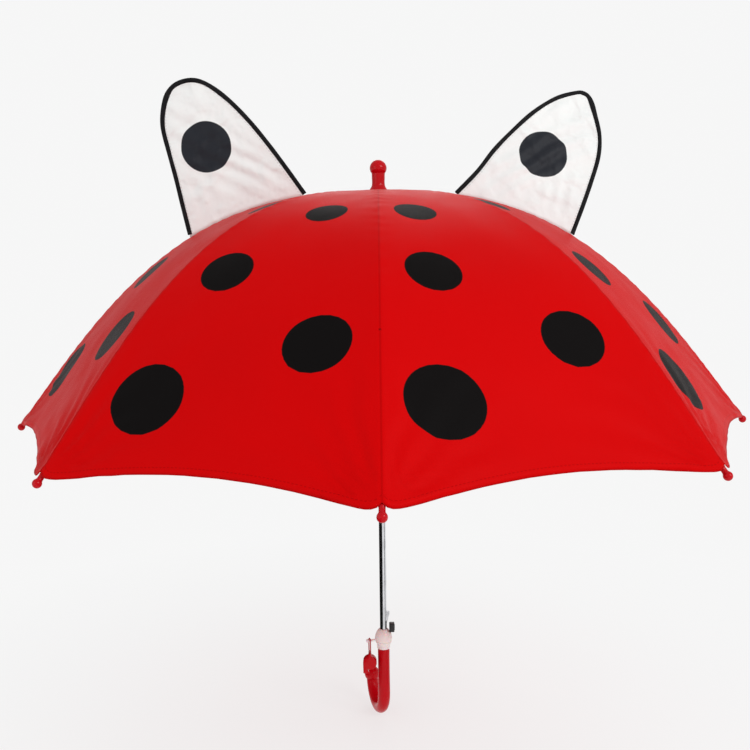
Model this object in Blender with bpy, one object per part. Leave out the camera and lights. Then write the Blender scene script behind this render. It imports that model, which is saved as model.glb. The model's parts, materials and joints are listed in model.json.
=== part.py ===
"""Children's ladybird umbrella with two ears, open, standing on its crook.

Metres, +Z up. The origin is where a hand holds the grip, on the shaft's axis.
Each rib is modelled at azimuth 0, along +X, and turned round the shaft to its place.
"""

import math

import bmesh
import bpy
from mathutils import Matrix, Vector

MM = 0.001

# Canopy: a dome of eight gores whose seams follow the ribs.
RIBS = 8
FIRST_RIB = math.radians(-90)
STEP = 2 * math.pi / RIBS
RIM_RADIUS = 365 * MM
RIM_HEIGHT = 260 * MM
DOME_RISE = 227 * MM
DOME_FULLNESS = 2.687
DOME_SHOULDER = 1.157
FABRIC_END = 0.98
HEM_END = 0.997
HEM_NOTCH = 0.017
SCALLOP = 0.029
BILLOW = 0.012
FABRIC = 0.8 * MM
TOP_HOLE = 4.4 * MM
ROWS = 12
COLUMNS = 6
APEX = RIM_HEIGHT + DOME_RISE

# Frame: fluted steel ribs and stretchers, hung on a crown and a runner.
FLUTE = (2.4 * MM, 2.0 * MM, 0.5 * MM)
STRETCHER_FLUTE = (2.2 * MM, 1.9 * MM, 0.5 * MM)
RIB_DROP = 3.0 * MM
CROWN_DROP = 3.0 * MM
CROWN_REACH = 50 * MM
RIB_PIVOT = Vector((9.0 * MM, 0, APEX - 6.0 * MM))
RIB_LUG = 2.0 * MM
RIB_INTO_TIP = 4.7 * MM
TIP_BALL = 8.5 * MM
JOINT_ROW = 7
JOINT_DROP = 3.0 * MM
STRETCHER_SIDE = -3.5 * MM
RUNNER_RADIUS = 9.5 * MM
RUNNER_HEIGHT = 345 * MM
CLOSED_TIP_RADIUS = 22 * MM
CLIP_LENGTH = 8 * MM

# Shaft, finial and handle.
SHAFT_RADIUS = 3.5 * MM
SHAFT_BORE = 2.9 * MM
SHAFT_BOTTOM = -5 * MM
SHAFT_TOP = APEX + 17 * MM
GAP = 0.3 * MM
HANDLE_TOP = 24.5 * MM
COLLAR_TOP = 45.5 * MM
GRIP_RADIUS = 6.2 * MM
HOOK_RADIUS = 24.5 * MM
HOOK_START = -23 * MM
HOOK_SWEEP = math.radians(165)
HOOK_TURN = math.radians(15)
HOOK_BALL = 8.1 * MM
HOOK_TIP = 6.0 * MM

# Latch pieces and the whistle.
OPEN_CATCH = RUNNER_HEIGHT - 14.5 * MM
CLOSED_CATCH = 64.0 * MM
CATCH_HEIGHT = 14 * MM
CATCH_WIDTH = 1.4 * MM
PEG_ANGLE = math.radians(200)
PEG_HEIGHT = 34.7 * MM
PEG_REACH = 15.2 * MM
CORD_RADIUS = 0.6 * MM
CORD_STRAND = 9.6 * MM
CORD_LOOP = 2.4 * MM
CORD_GAP = math.radians(40)
WHISTLE_ROUND = 7.0 * MM
WHISTLE_HALF = 4.4 * MM
WHISTLE_DROP = 9.6 * MM
WHISTLE_LENGTH = 20.5 * MM
WHISTLE_LUG = 1.2 * MM
WHISTLE_MOUTH = 6.8 * MM

# Ears: height over the rim against distance from the shaft, from inner foot to outer foot.
EAR_OUTLINE = {
    "left": ((72, 226), (91, 253), (108, 276), (126, 298), (146, 318), (166, 332), (182, 335), (197, 329),
             (205, 315), (208, 293), (203, 268), (197, 243), (191, 215), (185, 188)),
    "right": ((76, 225), (98, 248), (116, 271), (136, 292), (159, 313), (182, 328), (203, 335), (212, 335),
              (218, 329), (222, 312), (225, 289), (222, 266), (212, 238), (200, 209), (189, 184)),
}
EAR_TRIM = 2.0 * MM
EAR_PANEL = 1.2 * MM
EAR_CLEAR = 1.4 * MM
EAR_LEAN = {"left": 0.0, "right": math.radians(-20)}

RED = (0.62, 0.01, 0.02, 1)
BLACK = (0.01, 0.01, 0.012, 1)
STEEL = (0.75, 0.76, 0.78, 1)
WHITE = (0.85, 0.83, 0.82, 1)
BLUSH = (0.85, 0.68, 0.68, 1)


# ---------------------------------------------------------------- helpers
def clear_scene():
    for found in list(bpy.data.objects):
        bpy.data.objects.remove(found, do_unlink=True)


def make_material(name, colour, roughness, metallic=0.0):
    made = bpy.data.materials.new(name)
    made.use_nodes = True
    shader = made.node_tree.nodes["Principled BSDF"]
    shader.inputs["Base Color"].default_value = colour
    shader.inputs["Roughness"].default_value = roughness
    shader.inputs["Metallic"].default_value = metallic
    return made


def mesh_from(bm, name, material, smooth=True):
    """Turns a bmesh into a mesh with its faces pointing out, and shades it smooth but for its edges."""
    bmesh.ops.recalc_face_normals(bm, faces=bm.faces)
    mesh = bpy.data.meshes.new(name)
    bm.to_mesh(mesh)
    bm.free()
    mesh.materials.append(material)
    if smooth:
        mesh.shade_smooth()
        mesh.set_sharp_from_angle(angle=math.radians(35))
    return mesh


def add_object(name, data, parent=None, matrix=None):
    made = bpy.data.objects.new(name, data)
    bpy.context.scene.collection.objects.link(made)
    made.parent = parent
    if matrix is not None:
        made.matrix_local = matrix
    return made


def add_pivot(name, matrix, parent=None):
    """An empty on a joint's axis."""
    return add_object(name, None, parent, matrix)


def turned(profile, sides, closed=False):
    """A body turned round Z from (radius, height) points. An open profile starts and ends on the axis."""
    bm = bmesh.new()
    rings = []
    for radius, height in profile:
        if radius < 1e-7:
            rings.append([bm.verts.new((0, 0, height))] * sides)
            continue
        angles = [2 * math.pi * i / sides for i in range(sides)]
        rings.append([bm.verts.new((radius * math.cos(a), radius * math.sin(a), height)) for a in angles])
    pairs = list(zip(rings, rings[1:]))
    if closed:
        pairs.append((rings[-1], rings[0]))
    for low, high in pairs:
        for i in range(sides):
            corners = [low[i], low[(i + 1) % sides], high[(i + 1) % sides], high[i]]
            bm.faces.new(list(dict.fromkeys(corners)))
    return bm


def swept(sections):
    """A body through a list of loops of points, each with the same count, capped at both ends."""
    bm = bmesh.new()
    rings = [[bm.verts.new(p) for p in loop] for loop in sections]
    for low, high in zip(rings, rings[1:]):
        for i in range(len(low)):
            j = (i + 1) % len(low)
            bm.faces.new((low[i], low[j], high[j], high[i]))
    bm.faces.new(rings[0])
    bm.faces.new(rings[-1])
    return bm


def box(low, high):
    return swept([[(low[0], low[1], z), (high[0], low[1], z), (high[0], high[1], z), (low[0], high[1], z)]
                  for z in (low[2], high[2])])


def cut(target, cutter_bm, name, operation="DIFFERENCE"):
    """Cuts or joins a hidden tool body with a Boolean modifier."""
    tool = add_object(name, mesh_from(cutter_bm, name, target.data.materials[0], smooth=False), target.parent)
    tool.matrix_local = target.matrix_local
    tool.hide_render = True
    tool.display_type = "WIRE"
    modifier = target.modifiers.new(name, "BOOLEAN")
    modifier.operation = operation
    modifier.solver = "EXACT"
    modifier.object = tool


def smooth_path(points, steps):
    """Points along a Catmull-Rom curve through the given ones."""
    points = [Vector(p) for p in points]
    ends = [2 * points[0] - points[1], *points, 2 * points[-1] - points[-2]]
    path = []
    for a, b, c, d in zip(ends, ends[1:], ends[2:], ends[3:]):
        for i in range(steps):
            t = i / steps
            path.append(0.5 * (2 * b + (c - a) * t + (2 * a - 5 * b + 4 * c - d) * t ** 2
                               + (3 * b - a - 3 * c + d) * t ** 3))
    return [*path, points[-1]]


# ---------------------------------------------------------------- dome and linkage geometry
def azimuth(rib):
    return FIRST_RIB + rib * STEP


def dome(radius):
    """A point of the dome's outer line above a rib, at that distance from the shaft."""
    share = min(radius / RIM_RADIUS, 1.0)
    return Vector((radius, 0, RIM_HEIGHT + DOME_RISE * (1 - share ** DOME_FULLNESS) ** DOME_SHOULDER))


def dome_tangent(radius):
    """Unit direction down the rib."""
    step = 1 * MM
    return (dome(radius) - dome(max(radius - step, 0))).normalized()


def dome_normal(radius):
    along = dome_tangent(radius)
    return Vector((-along.z, 0, along.x))


def rib_centre(radius):
    """The rib's centre line, a little under the fabric, and lower near the crown."""
    near = max(0.0, 1 - (radius - RIB_PIVOT.x) / CROWN_REACH)
    return dome(radius) - dome_normal(radius) * (RIB_DROP + CROWN_DROP * min(near, 1.0) ** 2)


def row_radius(row, end):
    """Distance from the shaft of a row of the canopy, whose last row is at that share of the rim."""
    return TOP_HOLE + (RIM_RADIUS * end - TOP_HOLE) * row / ROWS


def hem_end(belly):
    """Share of the rim where the hem is, held back at the ribs and scalloped between them."""
    return HEM_END * (1 - SCALLOP * belly) - HEM_NOTCH * (1 - belly) ** 12


def rib_end():
    """The rib's centre where the fabric ends, and its direction there."""
    radius = RIM_RADIUS * FABRIC_END
    return rib_centre(radius), dome_tangent(radius)


def joint_radius():
    return row_radius(JOINT_ROW, FABRIC_END)


def joint_point():
    """Where a stretcher meets its rib."""
    return rib_centre(joint_radius()) - dome_normal(joint_radius()) * JOINT_DROP


def linkage():
    """Fold angle of a rib, turn of a stretcher and travel of the runner, from open to closed."""
    end, along = rib_end()
    tip = end + along * TIP_BALL - RIB_PIVOT
    fold = math.acos((CLOSED_TIP_RADIUS - RIB_PIVOT.x) / tip.length) - math.atan2(-tip.z, tip.x)
    joint = joint_point()
    closed = RIB_PIVOT + Matrix.Rotation(fold, 3, "Y") @ (joint - RIB_PIVOT)
    reach = Vector((joint.x - RUNNER_RADIUS, 0, joint.z - RUNNER_HEIGHT))
    rise = math.sqrt(reach.length ** 2 - (closed.x - RUNNER_RADIUS) ** 2)
    travel = RUNNER_HEIGHT - (closed.z - rise)
    turn = math.atan2(rise, closed.x - RUNNER_RADIUS) - math.atan2(reach.z, reach.x)
    return fold, turn, travel


# ---------------------------------------------------------------- canopy and ears
def build_canopy():
    bm = bmesh.new()
    columns = RIBS * COLUMNS
    grid = []
    for column in range(columns):
        rib, step = divmod(column, COLUMNS)
        share = step / COLUMNS
        belly = 4 * share * (1 - share)
        line = []
        for row in range(ROWS + 1):
            radius = row_radius(row, hem_end(belly))
            place = dome(radius)
            a, b = azimuth(rib), azimuth(rib + 1)
            swell = 1 + BILLOW * belly * math.sin(math.pi * row / ROWS)
            x = place.x * swell * ((1 - share) * math.cos(a) + share * math.cos(b))
            y = place.x * swell * ((1 - share) * math.sin(a) + share * math.sin(b))
            line.append(bm.verts.new((x, y, place.z)))
        grid.append(line)
    for column in range(columns):
        here, there = grid[column], grid[(column + 1) % columns]
        for row in range(ROWS):
            bm.faces.new((here[row], here[row + 1], there[row + 1], there[row]))
    mesh = mesh_from(bm, "canopy", make_material("canopy_fabric", RED, 0.45))
    if mesh.polygons[0].normal.z < 0:
        mesh.flip_normals()
    canopy = add_object("canopy", mesh)
    skin = canopy.modifiers.new("fabric", "SOLIDIFY")
    skin.thickness = FABRIC
    skin.offset = -1
    skin.use_rim = True


def ear_line(side):
    return smooth_path([(r * MM, 0, RIM_HEIGHT + z * MM) for r, z in EAR_OUTLINE[side]], 2)


def ear_inside(side, distance):
    """The ear's outline moved inwards."""
    line = ear_line(side)
    moved = []
    for i, point in enumerate(line):
        along = (line[min(i + 1, len(line) - 1)] - line[max(i - 1, 0)]).normalized()
        moved.append(point + Vector((along.z, 0, -along.x)) * distance)
    return moved


def ear_lean(side, angle):
    """Leans an ear back about the straight line between its feet."""
    line = ear_line(side)
    foot, axis = line[0], line[-1] - line[0]
    return Matrix.Translation(foot) @ Matrix.Rotation(angle, 4, axis) @ Matrix.Translation(-foot)


def ear_panel_mesh(side, material, lean):
    """The ear's fabric inside its trim, with a foot that follows the dome."""
    top = ear_inside(side, EAR_TRIM + GAP)
    first, last = top[0].x + EAR_CLEAR, top[-1].x - 2 * EAR_CLEAR
    count = 10
    foot = []
    for i in range(count + 1):
        radius = last + (first - last) * i / count
        foot.append(dome(radius) + dome_normal(radius) * EAR_CLEAR)
    outline = [p for p in top if p.z > dome(p.x).z + 3 * MM] + foot
    half = EAR_PANEL / 2
    bm = swept([[(p.x, y, p.z) for p in outline] for y in (-half, half)])
    bm.transform(lean)
    return mesh_from(bm, "ear_panel", material, smooth=False)


def ear_trim_mesh(side, material, lean):
    """The bound edge round the ear, over its hidden wire."""
    sides = 8
    line = ear_line(side)
    sections = []
    for i, point in enumerate(line):
        along = (line[min(i + 1, len(line) - 1)] - line[max(i - 1, 0)]).normalized()
        out = Vector((-along.z, 0, along.x))
        angles = [2 * math.pi * k / sides for k in range(sides)]
        sections.append([point + (out * math.cos(a) + Vector((0, 1, 0)) * math.sin(a)) * EAR_TRIM for a in angles])
    bm = swept(sections)
    bm.transform(lean)
    return mesh_from(bm, "ear_trim", material)


def build_ear(side, rib_pivot, mirrored):
    """One ear, sewn into the seam over a side rib, in that rib's own frame."""
    lean = ear_lean(side, -EAR_LEAN[side] if mirrored else EAR_LEAN[side])
    to_pivot = Matrix.Translation(-RIB_PIVOT)
    panel = make_material(f"ear_{side}_fabric", WHITE, 0.5)
    trim = make_material(f"ear_{side}_binding", BLACK, 0.6)
    add_object(f"ear_{side}", ear_panel_mesh(side, panel, lean), rib_pivot, to_pivot)
    add_object(f"ear_trim_{side}", ear_trim_mesh(side, trim, lean), rib_pivot, to_pivot)


# ---------------------------------------------------------------- ribs and stretchers
def flute(size, opening):
    """Outline of a fluted strip as (sideways, out) pairs. Its opening is at -1, below, or 1, above."""
    width, depth, wall = size
    half, top, bottom = width / 2, depth / 2 * -opening, depth / 2 * opening
    inner = top + wall * opening
    return [(-half, bottom), (-half, top), (half, top), (half, bottom),
            (half - wall, bottom), (half - wall, inner), (-half + wall, inner), (-half + wall, bottom)]


def section_at(point, normal, outline):
    return [point + Vector((0, side, 0)) + normal * out for side, out in outline]


def rib_mesh(material):
    outline = flute(FLUTE, -1)
    level = Vector((0, 0, 1))
    lug = RIB_PIVOT - Vector((RIB_LUG, 0, 0))
    sections = [section_at(lug, level, outline), section_at(RIB_PIVOT, level, outline)]
    for row in range(1, ROWS + 1):
        radius = row_radius(row, FABRIC_END)
        sections.append(section_at(rib_centre(radius), dome_normal(radius), outline))
    end, along = rib_end()
    sections.append(section_at(end + along * RIB_INTO_TIP, dome_normal(RIM_RADIUS * FABRIC_END), outline))
    bm = swept(sections)
    bm.transform(Matrix.Translation(-RIB_PIVOT))
    return mesh_from(bm, "rib", material)


def rib_tip_mesh(material):
    """A ball with a neck that the rib's end sits in, along its own Z."""
    ball, neck, bore = 3.7 * MM, 2.55 * MM, 1.95 * MM
    start, floor = -7.7 * MM, -3.3 * MM
    profile = [(0, floor), (bore, floor), (bore, start), (neck, start), (neck, -3.2 * MM)]
    for angle in (-25, 5, 35, 65, 90):
        radians = math.radians(angle)
        profile.append((ball * math.cos(radians) if angle < 90 else 0, ball * math.sin(radians)))
    return mesh_from(turned(profile, 10), "rib_tip", material)


def rib_tip_matrix():
    end, along = rib_end()
    return Matrix.Translation(end + along * TIP_BALL - RIB_PIVOT) @ along.to_track_quat("Z", "Y").to_matrix().to_4x4()


def rib_clip_mesh(material):
    """A bent strip under the rib, beside which the stretcher's end turns."""
    wall = 0.5 * MM
    out, low, high = FLUTE[0] / 2 + GAP + wall, -FLUTE[1] / 2 - 1.5 * GAP, 0.5 * MM
    outline = [(-out, high), (-out, low - wall), (out, low - wall), (out, high),
               (out - wall, high), (out - wall, low), (-out + wall, low), (-out + wall, high)]
    half = CLIP_LENGTH / 2
    radius = joint_radius()
    centre, along, normal = rib_centre(radius), dome_tangent(radius), dome_normal(radius)
    bm = swept([section_at(centre + along * s - RIB_PIVOT, normal, outline) for s in (-half, half)])
    return mesh_from(bm, "rib_clip", material)


def stretcher_mesh(material):
    """A straight fluted strip from the runner to the rib, beside the rib's plane."""
    outline = flute(STRETCHER_FLUTE, 1)
    start = Vector((RUNNER_RADIUS, 0, RUNNER_HEIGHT))
    end = joint_point()
    along = (end - start).normalized()
    normal = Vector((-along.z, 0, along.x))
    lug = 1.2 * MM
    side = Vector((0, STRETCHER_SIDE, 0))
    places = (-along * lug, end - start + along * lug)
    bm = swept([section_at(p + side, normal, outline) for p in places])
    return mesh_from(bm, "stretcher", material)


def build_frame(runner_pivot):
    rib = rib_mesh(make_material("rib_steel", STEEL, 0.3, 1.0))
    tip = rib_tip_mesh(make_material("rib_tip_plastic", RED, 0.25))
    clip = rib_clip_mesh(make_material("rib_clip_steel", STEEL, 0.35, 1.0))
    stretcher = stretcher_mesh(make_material("stretcher_steel", STEEL, 0.3, 1.0))
    for number in range(RIBS):
        turn = Matrix.Rotation(azimuth(number), 4, "Z")
        label = number + 1
        pivot = add_pivot(f"rib_pivot_{label}", turn @ Matrix.Translation(RIB_PIVOT))
        add_object(f"rib_{label}", rib, pivot)
        add_object(f"rib_tip_{label}", tip, pivot, rib_tip_matrix())
        add_object(f"rib_clip_{label}", clip, pivot)
        if number == RIBS // 4:
            build_ear("right", pivot, False)
        if number == 3 * RIBS // 4:
            build_ear("left", pivot, True)
        turned_out = turn @ Matrix.Translation(Vector((RUNNER_RADIUS, 0, 0)))
        joint = add_pivot(f"stretcher_pivot_{label}", turned_out, runner_pivot)
        add_object(f"stretcher_{label}", stretcher, joint)


def slot_ring(inner, outer, side, width, low, high):
    """Eight radial slots as one set of cutter boxes."""
    bm = bmesh.new()
    for number in range(RIBS):
        piece = box((inner, side - width / 2, low), (outer, side + width / 2, high))
        piece.transform(Matrix.Rotation(azimuth(number), 4, "Z"))
        held = bpy.data.meshes.new("slot")
        piece.to_mesh(held)
        piece.free()
        bm.from_mesh(held)
        bpy.data.meshes.remove(held)
    return bm


def build_crown():
    bore, body, rim = 3.8 * MM, 10.6 * MM, 11.5 * MM
    low, high = APEX - 12 * MM, APEX - 1.6 * MM
    profile = [(bore, low), (6 * MM, low), (body, low + 2 * MM), (rim, low + 3.5 * MM), (rim, high - 1 * MM),
               (body, high), (bore, high)]
    crown = add_object("crown", mesh_from(turned(profile, 32, closed=True), "crown",
                                          make_material("crown_plastic", BLACK, 0.4)))
    cut(crown, slot_ring(6.4 * MM, 14 * MM, 0, FLUTE[0] + 0.8 * MM, low - MM, high + MM), "crown_slots")


def build_runner():
    pivot = add_pivot("runner_pivot", Matrix.Translation((0, 0, RUNNER_HEIGHT)))
    bore, sleeve, disc = 3.9 * MM, 6.4 * MM, 12.4 * MM
    profile = [(bore / MM, -14), (5.9, -14), (sleeve / MM, -13.2), (sleeve / MM, -6), (disc / MM, -3.6),
               (disc / MM, 3.4), (8, 4.4), (sleeve / MM, 7.6), (5.9, 8.2), (bore / MM, 8.2)]
    profile = [(r * MM, z * MM) for r, z in profile]
    runner = add_object("runner", mesh_from(turned(profile, 28, closed=True), "runner",
                                            make_material("runner_plastic", BLACK, 0.4)), pivot)
    slot_width = STRETCHER_FLUTE[0] + 0.8 * MM
    cut(runner, slot_ring(7.3 * MM, 15 * MM, STRETCHER_SIDE, slot_width, -5.2 * MM, 6 * MM), "runner_slots")
    return pivot


# ---------------------------------------------------------------- shaft, finial and handle
def build_shaft():
    profile = [(SHAFT_BORE, SHAFT_BOTTOM), (SHAFT_RADIUS, SHAFT_BOTTOM), (SHAFT_RADIUS, SHAFT_TOP),
               (SHAFT_BORE, SHAFT_TOP)]
    shaft = add_object("shaft", mesh_from(turned(profile, 20, closed=True), "shaft",
                                          make_material("shaft_chrome", STEEL, 0.12, 1.0)))
    margin, half = 1 * MM, CATCH_WIDTH / 2 + GAP
    windows = bmesh.new()
    for top in (OPEN_CATCH, CLOSED_CATCH):
        piece = box((1.4 * MM, -half, top - CATCH_HEIGHT - margin), (5 * MM, half, top + margin))
        held = bpy.data.meshes.new("window")
        piece.to_mesh(held)
        piece.free()
        windows.from_mesh(held)
        bpy.data.meshes.remove(held)
    cut(shaft, windows, "catch_windows")


def build_catch(name, top):
    """A spring catch that stands out of the shaft's window, square above and sloped below."""
    inside, flush, nose = 1.0 * MM, 3.2 * MM, 6.2 * MM
    outline = [(inside, -CATCH_HEIGHT), (flush, -CATCH_HEIGHT), (nose, -2.5 * MM), (nose, 0), (inside, 0)]
    half = CATCH_WIDTH / 2
    bm = swept([[(x, y, z) for x, z in outline] for y in (-half, half)])
    pivot = add_pivot(f"{name}_slide", Matrix.Translation((0, 0, top)))
    add_object(name, mesh_from(bm, name, make_material(f"{name}_steel", STEEL, 0.3, 1.0), smooth=False), pivot)


def build_finial():
    """The red knob over the canopy, with a bore for the shaft's end."""
    bore, floor, flare, neck, ball = 3.85 * MM, 18 * MM, 9.3 * MM, 6.3 * MM, 8.2 * MM
    centre = 22.6 * MM
    start = GAP
    profile = [(0, floor), (bore, floor), (bore, start), (flare, start), (8.6 * MM, 2.2 * MM),
               (7.0 * MM, 4.6 * MM), (neck, 6.4 * MM)]
    for angle in (-40, -15, 12, 40, 65, 90):
        radians = math.radians(angle)
        profile.append((ball * math.cos(radians) if angle < 90 else 0, centre + ball * math.sin(radians)))
    add_object("finial", mesh_from(turned(profile, 24), "finial", make_material("finial_plastic", RED, 0.2)),
               None, Matrix.Translation((0, 0, APEX)))


def hook_direction():
    return Vector((-math.sin(HOOK_TURN), math.cos(HOOK_TURN), 0))


def build_handle():
    """A round grip that bends into a crook and ends in a ball, bored for the shaft."""
    outward, sides = hook_direction(), 16
    centre = outward * HOOK_RADIUS + Vector((0, 0, HOOK_START))
    stations = [(Vector((0, 0, z)), Vector((0, 0, -1)), GRIP_RADIUS) for z in (HANDLE_TOP, HOOK_START)]
    steps = 12
    for i in range(1, steps + 1):
        angle = HOOK_SWEEP * i / steps
        place = centre + (-outward * math.cos(angle) - Vector((0, 0, math.sin(angle)))) * HOOK_RADIUS
        along = outward * math.sin(angle) - Vector((0, 0, math.cos(angle)))
        stations.append((place, along, GRIP_RADIUS))
    place, along, _ = stations[-1]
    ball = place + along * HOOK_TIP
    for offset in (-4.6, -2.6, 0, 3, 5.6, 7.3, 8.0):
        distance = offset * MM
        stations.append((ball + along * distance, along, math.sqrt(HOOK_BALL ** 2 - distance ** 2)))
    across = outward.cross(Vector((0, 0, 1)))
    sections = []
    for place, along, radius in stations:
        up = across.cross(along)
        angles = [2 * math.pi * k / sides for k in range(sides)]
        sections.append([place + (across * math.cos(a) + up * math.sin(a)) * radius for a in angles])
    handle = add_object("handle", mesh_from(swept(sections), "handle", make_material("handle_plastic", RED, 0.2)))
    bore = [(0, SHAFT_BOTTOM - GAP), (SHAFT_RADIUS + GAP, SHAFT_BOTTOM - GAP),
            (SHAFT_RADIUS + GAP, HANDLE_TOP + 5 * MM), (0, HANDLE_TOP + 5 * MM)]
    cut(handle, turned(bore, 20), "handle_bore")


def peg_direction():
    return Vector((math.cos(PEG_ANGLE), math.sin(PEG_ANGLE), 0))


def build_collar():
    """The pale collar over the handle, with a pocket for the button and a peg for the whistle."""
    bore = SHAFT_RADIUS + GAP
    profile = [(bore / MM, 24.8), (6.6, 24.8), (6.8, 29.5), (8.3, 31.5), (8.8, 34.5), (8.6, 38), (7.4, 41.6),
               (5.4, 44.4), (4.6, 45.5), (bore / MM, 45.5)]
    profile = [(r * MM, z * MM) for r, z in profile]
    collar = add_object("collar", mesh_from(turned(profile, 28, closed=True), "collar",
                                            make_material("collar_plastic", BLUSH, 0.4)))
    peg = turned([(0, 5 * MM), (1.2 * MM, 5 * MM), (1.2 * MM, 16.4 * MM), (1.9 * MM, 16.9 * MM),
                  (1.9 * MM, 18.2 * MM), (0, 18.8 * MM)], 10)
    turn = peg_direction().to_track_quat("Z", "Y").to_matrix().to_4x4()
    peg.transform(Matrix.Translation((0, 0, PEG_HEIGHT)) @ turn)
    cut(collar, peg, "collar_peg", "UNION")
    cut(collar, box((SHAFT_RADIUS + 0.1 * MM, -3.6 * MM, 41.0 * MM), (15 * MM, 3.6 * MM, 50 * MM)), "button_pocket")


def build_button():
    """The black push button beside the shaft, above the collar's shoulder."""
    bm = box((5.9 * MM, -3.2 * MM, 42.4 * MM), (11.6 * MM, 3.2 * MM, 51.6 * MM))
    edges = [e for e in bm.edges if max(v.co.x for v in e.verts) > 11 * MM]
    bmesh.ops.bevel(bm, geom=edges, offset=1.0 * MM, segments=2, affect="EDGES", profile=0.5)
    bm.transform(Matrix.Translation((0, 0, -46.5 * MM)))
    pivot = add_pivot("release_button_slide", Matrix.Translation((0, 0, 46.5 * MM)))
    mesh = mesh_from(bm, "release_button", make_material("release_button_plastic", BLACK, 0.35))
    add_object("release_button", mesh, pivot)


# ---------------------------------------------------------------- whistle
def cord_points():
    """A loop over the peg and down to the whistle, open at the knot."""
    across = Vector((-math.sin(PEG_ANGLE), math.cos(PEG_ANGLE), 0))
    up = Vector((0, 0, 1))
    half, steps = CORD_STRAND / 2, 6
    middle = -half * up
    points = []
    for i in range(steps + 1):
        angle = -math.pi / 2 + CORD_GAP + (math.pi / 2 - CORD_GAP) * i / steps
        points.append(middle - half * up + (across * math.cos(angle) + up * math.sin(angle)) * CORD_LOOP)
    for i in range(1, 4):
        points.append(middle + up * (i / 2 - 1) * half + across * CORD_LOOP)
    for i in range(0, 2 * steps + 1):
        angle = math.pi * i / (2 * steps)
        points.append((across * math.cos(angle) + up * math.sin(angle)) * CORD_LOOP)
    for i in range(3, 0, -1):
        points.append(middle + up * (i / 2 - 1) * half - across * CORD_LOOP)
    for i in range(steps + 1):
        angle = math.pi + (math.pi / 2 - CORD_GAP) * i / steps
        points.append(middle - half * up + (across * math.cos(angle) + up * math.sin(angle)) * CORD_LOOP)
    return points


def arc(radius, height, first, last, count):
    """Points (across, height) of an arc between two angles in degrees."""
    angles = [math.radians(first + (last - first) * i / (count - 1)) for i in range(count)]
    return [(radius * math.cos(a), height + radius * math.sin(a)) for a in angles]


def whistle_outline():
    """Side view of the whistle: a lug under the cord, a round chamber and a mouthpiece."""
    top = -CORD_STRAND - CORD_LOOP - CORD_RADIUS - GAP
    middle, foot = top - WHISTLE_DROP, top - WHISTLE_LENGTH
    return [(-WHISTLE_LUG, top), (WHISTLE_LUG, top), *arc(WHISTLE_ROUND, middle, 62, -111.6, 10),
            (-WHISTLE_LUG, foot), (-WHISTLE_MOUTH, foot), *arc(WHISTLE_ROUND, middle, 174, 118, 5)]


def build_whistle():
    place = peg_direction() * PEG_REACH + Vector((0, 0, PEG_HEIGHT))
    pivot = add_pivot("whistle_swing", Matrix.Translation(place))
    curve = bpy.data.curves.new("whistle_cord", "CURVE")
    curve.dimensions = "3D"
    curve.bevel_depth = CORD_RADIUS
    curve.bevel_resolution = 2
    curve.use_fill_caps = True
    curve.materials.append(make_material("whistle_cord_fibre", RED, 0.7))
    spline = curve.splines.new("POLY")
    points = cord_points()
    spline.points.add(len(points) - 1)
    for held, point in zip(spline.points, points):
        held.co = (*point, 1)
    add_object("whistle_cord", curve, pivot)
    half = WHISTLE_HALF
    bm = swept([[(x, y, z) for x, z in whistle_outline()] for y in (-half, half)])
    mesh = mesh_from(bm, "whistle", make_material("whistle_plastic", RED, 0.25), smooth=False)
    add_object("whistle", mesh, pivot)


def main():
    clear_scene()
    build_shaft()
    build_finial()
    build_crown()
    build_canopy()
    build_frame(build_runner())
    build_catch("open_catch", OPEN_CATCH)
    build_catch("closed_catch", CLOSED_CATCH)
    build_collar()
    build_handle()
    build_button()
    build_whistle()


main()
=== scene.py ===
"""Looks of the children's ladybird umbrella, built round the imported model's frame.

Metres, +Z up. The origin is where a hand holds the grip, on the shaft's axis.
Pieces of a rib are modelled at azimuth 0, along +X, and turned round the shaft to their place.
"""

import json
import math

import bmesh
import bpy
from mathutils import Matrix, Vector, noise

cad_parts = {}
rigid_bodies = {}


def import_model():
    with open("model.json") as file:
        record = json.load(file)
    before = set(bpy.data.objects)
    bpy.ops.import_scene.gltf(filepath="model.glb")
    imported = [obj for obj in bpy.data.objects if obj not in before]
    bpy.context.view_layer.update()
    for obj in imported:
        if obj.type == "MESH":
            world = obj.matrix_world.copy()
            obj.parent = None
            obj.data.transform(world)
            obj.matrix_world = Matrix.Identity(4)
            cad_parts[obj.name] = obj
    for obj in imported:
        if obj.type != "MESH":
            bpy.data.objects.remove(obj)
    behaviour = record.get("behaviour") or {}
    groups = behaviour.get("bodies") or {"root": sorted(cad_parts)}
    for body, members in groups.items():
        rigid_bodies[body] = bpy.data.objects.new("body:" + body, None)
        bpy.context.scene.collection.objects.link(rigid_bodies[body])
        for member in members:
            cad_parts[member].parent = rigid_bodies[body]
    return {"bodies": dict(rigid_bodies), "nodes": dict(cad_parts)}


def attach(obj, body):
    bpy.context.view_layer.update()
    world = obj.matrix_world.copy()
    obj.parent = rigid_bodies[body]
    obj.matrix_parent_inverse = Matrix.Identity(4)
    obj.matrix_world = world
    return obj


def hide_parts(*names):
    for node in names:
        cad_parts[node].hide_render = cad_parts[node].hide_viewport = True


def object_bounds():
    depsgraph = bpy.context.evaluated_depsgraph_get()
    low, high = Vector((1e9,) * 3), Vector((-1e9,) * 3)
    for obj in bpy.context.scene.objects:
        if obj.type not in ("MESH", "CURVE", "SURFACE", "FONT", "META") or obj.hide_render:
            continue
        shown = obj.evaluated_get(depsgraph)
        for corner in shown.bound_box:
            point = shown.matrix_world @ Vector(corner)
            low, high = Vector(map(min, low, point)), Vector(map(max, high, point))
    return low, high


for default in list(bpy.data.objects):
    bpy.data.objects.remove(default, do_unlink=True)
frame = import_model()
CAD_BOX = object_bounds()

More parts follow.
